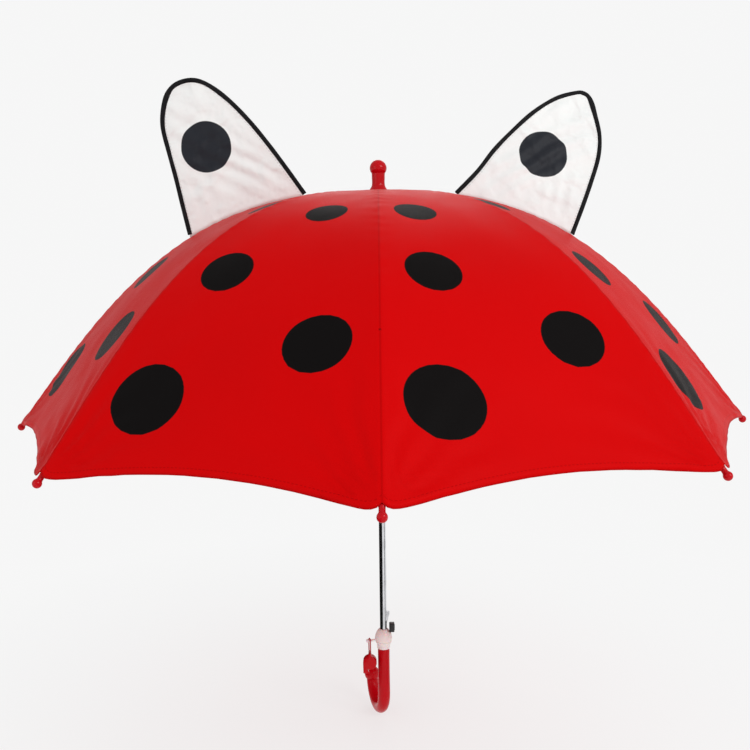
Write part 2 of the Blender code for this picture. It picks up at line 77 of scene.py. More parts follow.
MM = 0.001
UP = Vector((0, 0, 1))
SIDE = Vector((0, 1, 0))

# Camera and studio.
CAMERA_PLACE = Vector((0, -0.9547, 0.4183))
CAMERA_TURN = 0.0058
CAMERA_PITCH = math.radians(90 - 6.62)
CAMERA_ROLL = -0.0122
CAMERA_LENS = 46.35
FLOOR_SIZE = 40.0
BACKDROP = 0.925
WORLD_LIGHT = 0.62

# Canopy: a dome of eight gores whose seams follow the ribs.
RIBS = 8
FIRST_RIB = math.radians(-90)
STEP = 2 * math.pi / RIBS
RIM_RADIUS = 365 * MM
RIM_HEIGHT = 260 * MM
DOME_RISE = 227 * MM
DOME_FULLNESS = 2.687
DOME_SHOULDER = 1.157
FABRIC_END = 0.98
HEM_END = 0.997
HEM_NOTCH = 0.017
SCALLOP = 0.029
BILLOW = 0.012
TOP_HOLE = 4.4 * MM
APEX = RIM_HEIGHT + DOME_RISE
CLOTH_ROWS = 124
CLOTH_COLUMNS = 32
CLOTH_THICKNESS = 0.45 * MM
HEM_WIDTH = 7.0 * MM
SHAFT_GRIP = 9 * MM
RIB_GRIP = 20 * MM

# Dots of a gore: across from its middle, arc from the apex, radius, all in mm.
DOTS = ((-70, 373, 31), (53, 322, 27), (-43, 249, 23), (-3, 159, 18))
SIDE_DOTS = {
    0: ((-72, 371, 31), (49, 323, 27), (-44, 249, 23), (-27, 159, 18)),
    1: (*DOTS[:3], (-33, 135, 18)),
    6: (*DOTS[:3], (33, 135, 18)),
    7: ((-66, 375, 31), (59, 321, 27), (-42, 248, 23), (13, 159, 18)),
}

# Frame.
FLUTE = (2.4 * MM, 2.0 * MM, 0.5 * MM)
STRETCHER_FLUTE = (2.2 * MM, 1.9 * MM, 0.5 * MM)
RIB_DROP = 3.0 * MM
CROWN_DROP = 3.0 * MM
CROWN_REACH = 50 * MM
RIB_PIVOT = Vector((9.0 * MM, 0, APEX - 6.0 * MM))
RIB_LUG = 2.0 * MM
RIB_INTO_TIP = 4.7 * MM
RIB_STATIONS = 72
TIP_BALL = 8.5 * MM
JOINT_SHARE = 7 / 12
JOINT_DROP = 3.0 * MM
STRETCHER_SIDE = -3.5 * MM
RUNNER_RADIUS = 9.5 * MM
RUNNER_HEIGHT = 345 * MM
WIRE_RADIUS = 0.4 * MM
SLOT_ROOM = 0.8 * MM
TIE_SHARES = (0.3, 0.76)

# Shaft, finial and handle.
SHAFT_RADIUS = 3.5 * MM
SHAFT_BORE = 2.9 * MM
SHAFT_BOTTOM = 22 * MM
SHAFT_TOP = APEX + 17 * MM
GAP = 0.3 * MM
HANDLE_TOP = 24.5 * MM
GRIP_RADIUS = 6.2 * MM
HOOK_RADIUS = 24.5 * MM
HOOK_START = -23 * MM
HOOK_SWEEP = math.radians(165)
HOOK_TURN = math.radians(15)
HOOK_BALL = 8.1 * MM
HOOK_TIP = 6.0 * MM
CATCH_TOPS = (RUNNER_HEIGHT - 14.5 * MM, 64 * MM)
CATCH_HEIGHT = 14 * MM
BUTTON_LOW = Vector((5.9, -3.2, 42.4)) * MM
BUTTON_HIGH = Vector((11.6, 3.2, 51.6)) * MM

# Whistle.
PEG_ANGLE = math.radians(200)
PEG_HEIGHT = 34.7 * MM
PEG_REACH = 15.2 * MM
CORD_RADIUS = 0.6 * MM
CORD_STRAND = 9.6 * MM
CORD_LOOP = 2.4 * MM
CORD_GAP = math.radians(40)
WHISTLE_ROUND = 7.0 * MM
WHISTLE_HALF = 4.4 * MM
WHISTLE_DROP = 9.6 * MM
WHISTLE_LENGTH = 20.5 * MM
WHISTLE_LUG = 1.2 * MM
WHISTLE_MOUTH = 6.8 * MM

# Ears: distance from the shaft and height over the rim, from inner foot to outer foot, in mm.
EAR_OUTLINE = {
    "left": ((72, 226), (91, 253), (108, 276), (126, 298), (146, 318), (166, 332), (182, 335), (197, 329),
             (205, 315), (208, 293), (203, 268), (197, 243), (191, 215), (185, 188)),
    "right": ((76, 225), (98, 248), (116, 271), (136, 292), (159, 313), (182, 328), (203, 335), (212, 335),
              (218, 329), (222, 312), (225, 289), (222, 266), (212, 238), (200, 209), (189, 184)),
}
EAR_LEAN = {"left": 0.0, "right": math.radians(-20)}
EAR_DOT = {"left": (166.5, 272, 24.5), "right": (165.5, 267.5, 24.5)}
EAR_RIB = {"left": 7, "right": 3}
EAR_THICKNESS = 0.35 * MM
EAR_COLUMNS = 44
EAR_ROWS = 48
BINDING = (2.2 * MM, 1.25 * MM)

RED_CLOTH = (0.62, 0.0012, 0.0018, 1)
DARK_RED_CLOTH = (0.40, 0.0008, 0.0012, 1)
DOT_BLACK = (0.0045, 0.0038, 0.0038, 1)
DOT_THREAD = (0.009, 0.0075, 0.0075, 1)
WHITE_CLOTH = (0.865, 0.885, 0.87, 1)
WHITE_SHADE = (0.72, 0.73, 0.73, 1)
WHITE_WEAVE = (0.6, 0.6, 0.6, 1)
WHITE_STITCH = (0.45, 0.44, 0.44, 1)
EAR_DOT_BLACK = (0.009, 0.011, 0.017, 1)
TAPE_BLACK = (0.004, 0.004, 0.005, 1)
TAPE_WORN = (0.010, 0.010, 0.011, 1)
# The cord's colour in the grooves between its strands, darker as painted shade.
CORD_GROOVE_SHADE = (0.30, 0.004, 0.006, 1)
CORD_RED = (0.55, 0.008, 0.012, 1)
RED_PLASTIC = (0.50, 0.002, 0.007, 1)
RED_WORN = (0.40, 0.002, 0.005, 1)
BLACK_PLASTIC = (0.012, 0.012, 0.013, 1)
BLACK_WORN = (0.02, 0.02, 0.021, 1)
BLUSH_PLASTIC = (0.86, 0.74, 0.73, 1)
BLUSH_WORN = (0.80, 0.66, 0.65, 1)
STEEL = (0.70, 0.71, 0.73, 1)
CHROME = (0.78, 0.79, 0.81, 1)


# ---- camera
def add_object(name, data):
    made = bpy.data.objects.new(name, data)
    bpy.context.scene.collection.objects.link(made)
    return made


def add_camera():
    data = bpy.data.cameras.new("camera")
    data.lens = CAMERA_LENS
    data.sensor_width = 36
    data.clip_start = 0.01
    camera = add_object("camera", data)
    turn = Matrix.Rotation(CAMERA_TURN, 4, "Z") @ Matrix.Rotation(CAMERA_PITCH, 4, "X")
    camera.matrix_world = Matrix.Translation(CAMERA_PLACE) @ turn @ Matrix.Rotation(CAMERA_ROLL, 4, "Z")
    bpy.context.scene.camera = camera


# ---- material nodes
def node(tree, kind, inputs=None, **settings):
    """A node with its settings, and its inputs as values or as other nodes' outputs."""
    made = tree.nodes.new(kind)
    for name, value in settings.items():
        setattr(made, name, value)
    for key, value in (inputs or {}).items():
        if isinstance(value, bpy.types.NodeSocket):
            tree.links.new(value, made.inputs[key])
        else:
            made.inputs[key].default_value = value
    return made


def maths(tree, operation, first, second=0.0):
    return node(tree, "ShaderNodeMath", {0: first, 1: second}, operation=operation).outputs[0]


def span(tree, value, low, high, start=0.0, end=1.0):
    """Maps low..high onto start..end, held at both ends."""
    inputs = {"Value": value, "From Min": low, "From Max": high, "To Min": start, "To Max": end}
    return node(tree, "ShaderNodeMapRange", inputs).outputs[0]


def sine(tree, value, pitch):
    return maths(tree, "SINE", maths(tree, "MULTIPLY", value, 2 * math.pi / pitch))


def mixed(tree, factor, first, second):
    return node(tree, "ShaderNodeMix", {0: factor, 6: first, 7: second}, data_type="RGBA").outputs[2]


def cloud(tree, vector, scale, detail=3.0):
    inputs = {"Vector": vector, "Scale": scale, "Detail": detail}
    return node(tree, "ShaderNodeTexNoise", inputs).outputs[0]


def bands(tree, **inputs):
    """Slanted bands, broken up by noise."""
    named = {key.replace("_", " "): value for key, value in inputs.items()}
    return node(tree, "ShaderNodeTexWave", named, bands_direction="DIAGONAL").outputs[1]


def attribute(tree, name):
    return node(tree, "ShaderNodeAttribute", attribute_name=name).outputs["Fac"]


def coordinates(tree, kind="Object"):
    return node(tree, "ShaderNodeTexCoord").outputs[kind]


def bump(tree, height, distance, strength, normal=None):
    inputs = {"Height": height, "Distance": distance, "Strength": strength}
    if normal is not None:
        inputs["Normal"] = normal
    return node(tree, "ShaderNodeBump", inputs).outputs[0]


def shader(name, roughness, metallic=0.0, **sockets):
    """A material with its Principled shader, whose constant sockets are set here."""
    made = bpy.data.materials.new(name)
    made.use_nodes = True
    principled = made.node_tree.nodes["Principled BSDF"]
    principled.inputs["Roughness"].default_value = roughness
    principled.inputs["Metallic"].default_value = metallic
    for key, value in sockets.items():
        principled.inputs[key.replace("_", " ")].default_value = value
    return made, made.node_tree, principled


def feed(tree, out, **values):
    """Links the shader's sockets that vary over the surface."""
    for key, value in values.items():
        tree.links.new(value, out.inputs[key.replace("_", " ")])


def weave(tree, pitch):
    """Over and under threads of a plain weave, from UVs in metres."""
    uv = node(tree, "ShaderNodeSeparateXYZ", {0: coordinates(tree, "UV")})
    warp, weft = sine(tree, uv.outputs[0], pitch), sine(tree, uv.outputs[1], pitch)
    return maths(tree, "MULTIPLY", warp, weft), uv


def stitches(tree, distance, along, at, pitch):
    """Dashes of thread that run along a line at a distance from an edge."""
    offset = maths(tree, "ABSOLUTE", maths(tree, "SUBTRACT", distance, at))
    line = span(tree, offset, 0.25 * MM, 0.5 * MM, 1.0, 0.0)
    return maths(tree, "MULTIPLY", line, span(tree, sine(tree, along, pitch), -0.35, -0.1))


def canopy_material():
    made, tree, out = shader("canopy_cloth", 0.46, Sheen_Weight=0.08, Sheen_Roughness=0.25,
                             Sheen_Tint=(1, 0.8, 0.8, 1), Specular_IOR_Level=0.02)
    threads, uv = weave(tree, 0.7 * MM)
    place = coordinates(tree)
    hem, seam = attribute(tree, "hem"), attribute(tree, "seam")
    shade = mixed(tree, span(tree, cloud(tree, place, 7), 0.3, 0.7, 0.0, 0.16), RED_CLOTH, DARK_RED_CLOTH)
    shade = mixed(tree, span(tree, threads, -1, 1, 0.0, 0.10), shade, DARK_RED_CLOTH)
    # Darker along each seam and at the hem's edge: painted shade in the seam's crease and along the folded
    # hem edge.
    shade = mixed(tree, span(tree, seam, 0.3 * MM, 1.2 * MM, 0.55, 0.0), shade, DARK_RED_CLOTH)
    shade = mixed(tree, span(tree, hem, 0.2 * MM, 1.6 * MM, 0.7, 0.0), shade, DARK_RED_CLOTH)
    dots = span(tree, attribute(tree, "dots"), -0.3 * MM, 0.3 * MM)
    printed = mixed(tree, span(tree, threads, -1, 1, 0.0, 0.5), DOT_BLACK, DOT_THREAD)
    shade = mixed(tree, dots, shade, printed)
    thread = stitches(tree, hem, uv.outputs[0], HEM_WIDTH - 1.2 * MM, 3.2 * MM)
    shade = mixed(tree, maths(tree, "MULTIPLY", thread, 0.65), shade, DARK_RED_CLOTH)
    rough = span(tree, cloud(tree, place, 30), 0.3, 0.7, 0.42, 0.52)
    soft = bump(tree, cloud(tree, place, 38, 4.0), 0.25 * MM, 0.5)
    sewn = bump(tree, thread, 0.12 * MM, 0.6, soft)
    woven = bump(tree, threads, 0.025 * MM, 0.6, sewn)
    feed(tree, out, Base_Color=shade, Roughness=rough, Normal=woven)
    return made


def ear_material():
    made, tree, out = shader("ear_cloth", 0.55, Sheen_Weight=0.1, Sheen_Roughness=0.4,
                             Specular_IOR_Level=0.25)
    threads, uv = weave(tree, 0.6 * MM)
    place = coordinates(tree)
    shade = mixed(tree, span(tree, cloud(tree, place, 22), 0.35, 0.7, 0.0, 0.35), WHITE_CLOTH, WHITE_SHADE)
    shade = mixed(tree, span(tree, threads, -1, 1, 0.0, 0.12), shade, WHITE_WEAVE)
    thread = stitches(tree, attribute(tree, "hem"), uv.outputs[1], 3.2 * MM, 2.8 * MM)
    shade = mixed(tree, maths(tree, "MULTIPLY", thread, 0.4), shade, WHITE_STITCH)
    dots = span(tree, attribute(tree, "dots"), -0.25 * MM, 0.25 * MM)
    shade = mixed(tree, dots, shade, EAR_DOT_BLACK)
    creases = bands(tree, Vector=place, Scale=11.0, Distortion=9.0, Detail=3.0, Detail_Scale=2.2)
    soft = bump(tree, creases, 1.3 * MM, 0.8, bump(tree, cloud(tree, place, 60, 4.0), 0.2 * MM, 0.5))
    feed(tree, out, Base_Color=shade, Normal=bump(tree, threads, 0.025 * MM, 0.6, soft))
    return made


def binding_material():
    made, tree, out = shader("ear_tape", 0.62, Sheen_Weight=0.04, Sheen_Roughness=0.4,
                             Specular_IOR_Level=0.12)
    place = coordinates(tree)
    ridges = bands(tree, Vector=place, Scale=900.0, Distortion=1.5)
    shade = mixed(tree, span(tree, cloud(tree, place, 120), 0.3, 0.7), TAPE_BLACK, TAPE_WORN)
    feed(tree, out, Base_Color=shade, Normal=bump(tree, ridges, 0.08 * MM, 0.7))
    return made


def plastic_material(name, colour, roughness, worn, grain=0.0, **sockets):
    """Moulded plastic with faint flow marks, handling marks in its gloss, and a fine skin."""
    made, tree, out = shader(name, roughness, **sockets)
    place = coordinates(tree)
    flow = span(tree, cloud(tree, place, 45, 2.0), 0.35, 0.7, 0.0, 0.35)
    marks = span(tree, cloud(tree, place, 320, 5.0), 0.4, 0.75, roughness, roughness + 0.14)
    skin = bump(tree, cloud(tree, place, 180), 0.06 * MM, 0.4)
    if grain:
        skin = bump(tree, cloud(tree, place, 2200, 2.0), grain, 0.6, skin)
    feed(tree, out, Base_Color=mixed(tree, flow, colour, worn), Roughness=marks, Normal=skin)
    return made


def steel_material(name, colour, roughness, streak):
    """Drawn and plated metal, with streaks along the axis that streak stretches least."""
    made, tree, out = shader(name, roughness, 1.0)
    place = coordinates(tree)
    drawn = node(tree, "ShaderNodeMapping", {"Vector": place, "Scale": streak}).outputs[0]
    lines = cloud(tree, drawn, 1.0, 4.0)
    dull = tuple(c * 0.72 for c in colour[:3]) + (1,)
    shade = mixed(tree, span(tree, cloud(tree, place, 90), 0.4, 0.75), colour, dull)
    rough = span(tree, lines, 0.3, 0.7, roughness * 0.7, roughness * 1.5)
    feed(tree, out, Base_Color=shade, Roughness=rough, Normal=bump(tree, lines, 0.02 * MM, 0.3))
    return made


def cord_material():
    made, tree, out = shader("cord_fibre", 0.7, Sheen_Weight=0.3)
    # The cord is darker in the grooves between its strands, where the bump is low: painted shade.
    strands = bands(tree, Vector=coordinates(tree), Scale=420.0, Distortion=2.0)
    feed(tree, out, Base_Color=mixed(tree, strands, CORD_GROOVE_SHADE, CORD_RED),
         Normal=bump(tree, strands, 0.15 * MM, 0.8))
    return made


# ---- mesh helpers
def finished(bm, name, material, smooth=True, angle=35):
    bmesh.ops.recalc_face_normals(bm, faces=bm.faces)
    mesh = bpy.data.meshes.new(name)
    bm.to_mesh(mesh)
    bm.free()
    mesh.materials.append(material)
    if smooth:
        mesh.shade_smooth()
        mesh.set_sharp_from_angle(angle=math.radians(angle))
    return mesh


def piece(name, mesh, body, replaces=(), matrix=None):
    """A shown piece that rides on a body and stands for CAD nodes."""
    made = add_object(name, mesh)
    if matrix is not None:
        made.matrix_world = matrix
    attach(made, body)
    if replaces:
        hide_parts(*replaces)
    return made


def circle(sides):
    """Even angles all the way round."""
    return [2 * math.pi * i / sides for i in range(sides)]


def turned(profile, sides, closed=False):
    """A body turned round Z from (radius, height) points. An open profile starts and ends on the axis."""
    bm = bmesh.new()
    rings = []
    for radius, height in profile:
        if radius < 1e-7:
            rings.append([bm.verts.new((0, 0, height))] * sides)
            continue
        places = [(radius * math.cos(a), radius * math.sin(a), height) for a in circle(sides)]
        rings.append([bm.verts.new(place) for place in places])
    pairs = list(zip(rings, rings[1:]))
    if closed:
        pairs.append((rings[-1], rings[0]))
    for low, high in pairs:
        for i in range(sides):
            corners = [low[i], low[(i + 1) % sides], high[(i + 1) % sides], high[i]]
            bm.faces.new(list(dict.fromkeys(corners)))
    return bm


def swept(sections, closed=False):
    """A body through loops of points, each with the same count, capped at both ends or joined up."""
    bm = bmesh.new()
    rings = [[bm.verts.new(p) for p in loop] for loop in sections]
    pairs = list(zip(rings, rings[1:]))
    if closed:
        pairs.append((rings[-1], rings[0]))
    for low, high in pairs:
        for i in range(len(low)):
            j = (i + 1) % len(low)
            bm.faces.new((low[i], low[j], high[j], high[i]))
    if not closed:
        bm.faces.new(rings[0])
        bm.faces.new(rings[-1])
    return bm


def rounded_box(low, high, radius, segments=3):
    low, high = Vector(low), Vector(high)
    bm = bmesh.new()
    bmesh.ops.create_cube(bm, size=1.0)
    size = high - low
    bm.transform(Matrix.Translation((low + high) / 2) @ Matrix.Diagonal((*size, 1)))
    if radius:
        bmesh.ops.bevel(bm, geom=bm.edges[:], offset=radius, segments=segments, affect="EDGES", profile=0.5)
    return bm


def joined(parts):
    """One bmesh of several."""
    whole = bmesh.new()
    for part in parts:
        held = bpy.data.meshes.new("part")
        part.to_mesh(held)
        part.free()
        whole.from_mesh(held)
        bpy.data.meshes.remove(held)
    return whole


def carved(bm, cutter, name, material, angle=35):
    """The body less the cutter, as a finished mesh."""
    body = add_object(name, finished(bm, name, material))
    tool = add_object(name + "_tool", finished(cutter, name + "_tool", material, smooth=False))
    modifier = body.modifiers.new("cut", "BOOLEAN")
    modifier.operation = "DIFFERENCE"
    modifier.solver = "EXACT"
    modifier.object = tool
    graph = bpy.context.evaluated_depsgraph_get()
    mesh = bpy.data.meshes.new_from_object(body.evaluated_get(graph))
    for used in (body, tool):
        bpy.data.objects.remove(used, do_unlink=True)
    mesh.shade_smooth()
    mesh.set_sharp_from_angle(angle=math.radians(angle))
    return mesh


def smooth_path(points, steps):
    """Points along a Catmull-Rom curve through the given ones."""
    points = [Vector(p) for p in points]
    ends = [2 * points[0] - points[1], *points, 2 * points[-1] - points[-2]]
    path = []
    for a, b, c, d in zip(ends, ends[1:], ends[2:], ends[3:]):
        for i in range(steps):
            t = i / steps
            path.append(0.5 * (2 * b + (c - a) * t + (2 * a - 5 * b + 4 * c - d) * t ** 2
                               + (3 * b - a - 3 * c + d) * t ** 3))
    return [*path, points[-1]]


def smooth_profile(points, steps=5):
    """A turned profile in mm, smoothed, as (radius, height) in metres."""
    return [(max(p.x, 0) * MM, p.y * MM) for p in smooth_path([(r, z, 0) for r, z in points], steps)]


def tube(path, radius, sides=10, closed=False):
    """A round tube along a path."""
    last = len(path) - 1
    sections = []
    for i, point in enumerate(path):
        before = path[i - 1] if i or closed else path[0]
        after = path[(i + 1) % len(path)] if i < last or closed else path[last]
        facing = (after - before).normalized().to_track_quat("Z", "Y")
        spokes = [Vector((math.cos(a), math.sin(a), 0)) for a in circle(sides)]
        sections.append([point + facing @ spoke * radius for spoke in spokes])
    return swept(sections, closed)


def ring(radius, height, thickness, sides=48):
    """A round wire ring about the shaft."""
    sections = []
    for a in circle(sides):
        out = Vector((math.cos(a), math.sin(a), 0))
        sections.append([out * (radius + thickness * math.cos(b)) + UP * (height + thickness * math.sin(b))
                         for b in circle(8)])
    return swept(sections, closed=True)


def ball_end(radius, centre, start, sweep, steps):
    """Profile of a ball from an angle in degrees up to its top, which is on the axis."""
    angles = [math.radians(start + sweep * step / steps) for step in range(steps)]
    side = [(radius * math.cos(angle), centre + radius * math.sin(angle)) for angle in angles]
    return [*side, (0, centre + radius * math.sin(math.radians(start + sweep)))]


def thicken(made, thickness, offset):
    skin = made.modifiers.new("cloth", "SOLIDIFY")
    skin.thickness = thickness
    skin.offset = offset


def smoothstep(value, low, high):
    share = min(max((value - low) / (high - low), 0.0), 1.0)
    return share * share * (3 - 2 * share)


# ---- dome geometry
def azimuth(rib):
    return FIRST_RIB + rib * STEP


def dome(radius):
    """A point of the dome's outer line above a rib, at that distance from the shaft."""
    share = min(radius / RIM_RADIUS, 1.0)
    return Vector((radius, 0, RIM_HEIGHT + DOME_RISE * (1 - share ** DOME_FULLNESS) ** DOME_SHOULDER))


def dome_tangent(radius):
    step = 1 * MM
    return (dome(radius) - dome(max(radius - step, 0))).normalized()


def dome_normal(radius):
    along = dome_tangent(radius)
    return Vector((-along.z, 0, along.x))


def rib_centre(radius):
    """The rib's centre line, a little under the fabric, and lower near the crown."""
    near = max(0.0, 1 - (radius - RIB_PIVOT.x) / CROWN_REACH)
    return dome(radius) - dome_normal(radius) * (RIB_DROP + CROWN_DROP * min(near, 1.0) ** 2)


def share_radius(share, end=FABRIC_END):
    return TOP_HOLE + (RIM_RADIUS * end - TOP_HOLE) * share


def hem_end(belly):
    """Share of the rim where the hem is, held back at the ribs and scalloped between them."""
    return HEM_END * (1 - SCALLOP * belly) - HEM_NOTCH * (1 - belly) ** 12


def rib_end():
    radius = RIM_RADIUS * FABRIC_END
    return rib_centre(radius), dome_tangent(radius)


def joint_point():
    radius = share_radius(JOINT_SHARE)
    return rib_centre(radius) - dome_normal(radius) * JOINT_DROP


def arc_table(count=800):
    """Arc length from the apex against distance from the shaft."""
    lengths = [0.0]
    points = [dome(RIM_RADIUS * i / count) for i in range(count + 1)]
    for a, b in zip(points, points[1:]):
        lengths.append(lengths[-1] + (b - a).length)
    return lengths


ARCS = arc_table()


def arc_at(radius):
    place = min(radius / RIM_RADIUS, 0.9999) * (len(ARCS) - 1)
    index = int(place)
    return ARCS[index] + (ARCS[index + 1] - ARCS[index]) * (place - index)


# ---- canopy
def cloth_share(step):
    """Columns of a gore, closer together at its seams."""
    share = step / CLOTH_COLUMNS
    return share - 0.09 * math.sin(2 * math.pi * share)


def dot_inside(gore, across, along):
    """How far a point is inside the nearest dot of a gore, or less than 0 outside."""
    dots = SIDE_DOTS.get(gore % RIBS, DOTS)
    return max(r * MM - math.hypot(across - u * MM, along - v * MM) for u, v, r in dots)


def cloth_relief(gore, across, along, seam, hem):
    """How far the cloth stands off the smooth gore: puckers, pulls at the tips and a folded hem."""
    offset = 7.3 * gore
    drift = noise.noise(Vector((across * 30, along * 22, offset)))
    pucker = math.sin(along * 2 * math.pi / (15 * MM) + 5 * drift) * math.exp(-seam / (7 * MM)) * 0.22 * MM
    corner = math.hypot(seam, hem)
    angle = math.atan2(seam, hem + 1 * MM)
    fans = math.sin(angle * 15 + 3.5 * drift + gore) * math.exp(-corner / (52 * MM))
    pull = fans * smoothstep(corner, 6 * MM, 34 * MM) * smoothstep(seam, 0, 10 * MM) * 2.4 * MM
    wave = noise.noise(Vector((across * 11, along * 9, offset + 3))) * smoothstep(seam, 0, 50 * MM) * 1.6 * MM
    fold = 0.28 * MM * (1 - smoothstep(hem, HEM_WIDTH - 0.7 * MM, HEM_WIDTH))
    flutter = math.sin(across * 2 * math.pi / (34 * MM) + 4 * drift) * math.exp(-hem / (12 * MM)) * 0.3 * MM
    return pucker + pull + wave + fold + flutter * smoothstep(seam, 0, 20 * MM)


def cloth_point(rib, share, row_share):
    """A point of the gore between a rib and the next, and its place across, along, to seam and to hem."""
    belly = 4 * share * (1 - share)
    end = hem_end(belly)
    radius = share_radius(row_share, end)
    low = dome(radius)
    a, b = azimuth(rib), azimuth(rib + 1)
    reach = radius * (1 + BILLOW * belly * math.sin(math.pi * row_share))
    chord = 2 * radius * math.sin(STEP / 2)
    place = Vector((reach * ((1 - share) * math.cos(a) + share * math.cos(b)),
                    reach * ((1 - share) * math.sin(a) + share * math.sin(b)), low.z))
    across, along = (share - 0.5) * chord, arc_at(radius)
    seam = min(share, 1 - share) * chord
    hem = arc_at(RIM_RADIUS * end) - along
    return place, across, along, seam, hem


def canopy_mesh(material):
    bm = bmesh.new()
    uv = bm.loops.layers.uv.new("UVMap")
    layers = {name: bm.verts.layers.float.new(name) for name in ("dots", "hem", "seam")}
    weights = bm.verts.layers.deform.new()
    columns = RIBS * CLOTH_COLUMNS
    facts, grid = {}, []
    for column in range(columns):
        rib, step = divmod(column, CLOTH_COLUMNS)
        share = cloth_share(step)
        line = []
        for row in range(CLOTH_ROWS + 1):
            place, across, along, seam, hem = cloth_point(rib, share, row / CLOTH_ROWS)
            vert = bm.verts.new(place)
            vert[layers["dots"]] = dot_inside(rib, across, along)
            vert[layers["hem"]] = hem
            vert[layers["seam"]] = seam
            weigh(vert[weights], rib, share, math.hypot(place.x, place.y))
            facts[vert] = (rib, across, along, seam, hem)
            line.append(vert)
        grid.append(line)
    for column in range(columns):
        here, there = grid[column], grid[(column + 1) % columns]
        last = column % CLOTH_COLUMNS == CLOTH_COLUMNS - 1
        for row in range(CLOTH_ROWS):
            face = bm.faces.new((here[row], here[row + 1], there[row + 1], there[row]))
            for loop in face.loops:
                _, across, along, _, _ = facts[loop.vert]
                wrapped = last and loop.vert in (there[row], there[row + 1])
                loop[uv].uv = (-across if wrapped else across, along)
    bm.normal_update()
    bm.faces.ensure_lookup_table()
    if bm.faces[0].normal.z < 0:
        bmesh.ops.reverse_faces(bm, faces=bm.faces)
        bm.normal_update()
    moves = [(vert, vert.normal * cloth_relief(*found)) for vert, found in facts.items()]
    for vert, move in moves:
        vert.co += move
    mesh = bpy.data.meshes.new("canopy_cloth")
    bm.to_mesh(mesh)
    bm.free()
    mesh.materials.append(material)
    mesh.shade_smooth()
    return mesh


def weigh(held, rib, share, radius):
    """Vertex weights: the two ribs of a gore, and the shaft at the crown. Group 0 is the shaft."""
    free = smoothstep(radius, SHAFT_GRIP, RIB_GRIP)
    held[0] = 1 - free
    held[1 + rib] = free * (1 - share)
    held[1 + (rib + 1) % RIBS] = free * share


def add_canopy():
    canopy = piece("canopy_cloth", canopy_mesh(canopy_material()), "shaft", ("canopy",))
    names = ["shaft"] + [f"rib_{number + 1}" for number in range(RIBS)]
    for name in names:
        canopy.vertex_groups.new(name=name)
    rig = add_rig(names)
    bend = canopy.modifiers.new("ribs", "ARMATURE")
    bend.object = rig
    thicken(canopy, CLOTH_THICKNESS, -1)
    return canopy


def add_rig(names):
    """One bone for each rib and one for the shaft, each of which follows its CAD body."""
    data = bpy.data.armatures.new("canopy_rig")
    rig = add_object("canopy_rig", data)
    bpy.context.view_layer.objects.active = rig
    bpy.ops.object.mode_set(mode="EDIT")
    for index, name in enumerate(names):
        bone = data.edit_bones.new(name)
        turn = Matrix.Rotation(azimuth(index - 1), 3, "Z")
        bone.head = turn @ RIB_PIVOT if index else Vector((0, 0, APEX))
        bone.tail = bone.head + UP * 0.05
    bpy.ops.object.mode_set(mode="OBJECT")
    for name in names:
        follow = rig.pose.bones[name].constraints.new("CHILD_OF")
        follow.target = frame["bodies"][name]
        follow.inverse_matrix = Matrix.Identity(4)
    return rig


# ---- ears
def ear_line(side, steps=8):
    return smooth_path([(r * MM, 0, RIM_HEIGHT + z * MM) for r, z in EAR_OUTLINE[side]], steps)


def ear_lean(side, angle):
    """Leans an ear back about the straight line between its feet."""
    line = ear_line(side)
    foot, axis = line[0], line[-1] - line[0]
    return Matrix.Translation(foot) @ Matrix.Rotation(angle, 4, axis) @ Matrix.Translation(-foot)


def along_line(line, share):
    place = min(max(share, 0.0), 0.99999) * (len(line) - 1)
    index = int(place)
    return line[index].lerp(line[index + 1], place - index)


def ear_relief(side, point, hem):
    """Tension folds that run from the ear's tip down to its inner foot, and softer ones at its outer foot."""
    x, z = point.x / MM, (point.z - RIM_HEIGHT) / MM
    drift = noise.noise(Vector((x * 0.02, z * 0.02, 4.0 if side == "left" else 9.0)))
    slant = (z - 300) - 0.55 * (x - 190)
    folds = math.sin(slant * 0.33 + 3 * drift) * math.exp(-((slant + 18) / 34) ** 2) * 1.1 * MM
    upright = math.sin((x - 0.25 * (z - 220)) * 0.42 + 2 * drift) * math.exp(-((x - 176) / 20) ** 2)
    upright *= math.exp(-((z - 222) / 26) ** 2) * 0.9 * MM
    soft = noise.noise(Vector((x * 0.045, z * 0.045, 2.0))) * 1.3 * MM
    return (folds + upright + soft) * smoothstep(hem, 1 * MM, 16 * MM)


def ear_mesh(side, material, lean):
    """The ear's cloth: a grid between its two edges, from a foot on the seam up to its tip."""
    line = ear_line(side)
    bm = bmesh.new()
    uv = bm.loops.layers.uv.new("UVMap")
    dots, hems = bm.verts.layers.float.new("dots"), bm.verts.layers.float.new("hem")
    u, v, radius = EAR_DOT[side]
    centre = Vector((u * MM, 0, RIM_HEIGHT + v * MM))
    grid, flat = [], {}
    for row in range(EAR_ROWS + 1):
        rise = 0.995 * row / EAR_ROWS
        left, right = along_line(line, rise / 2), along_line(line, 1 - rise / 2)
        cells = []
        for column in range(EAR_COLUMNS + 1):
            share = column / EAR_COLUMNS
            point = left.lerp(right, share)
            reach = line[0].lerp(line[-1], share)
            foot = dome(reach.x) - dome_normal(reach.x) * 0.2 * MM
            point = point + (foot - reach) * (1 - rise) ** 2
            hem = min(share, 1 - share) * (right - left).length
            vert = bm.verts.new(point)
            vert[dots] = radius * MM - (point - centre).length
            vert[hems] = hem
            vert.co.y = ear_relief(side, point, hem) * smoothstep(rise, 0, 0.15)
            flat[vert] = (point.x, point.z)
            cells.append(vert)
        grid.append(cells)
    for low, high in zip(grid, grid[1:]):
        for i in range(EAR_COLUMNS):
            face = bm.faces.new((low[i], low[i + 1], high[i + 1], high[i]))
            for loop in face.loops:
                loop[uv].uv = flat[loop.vert]
    bm.transform(lean)
    return finished(bm, f"ear_{side}_cloth", material, angle=80)


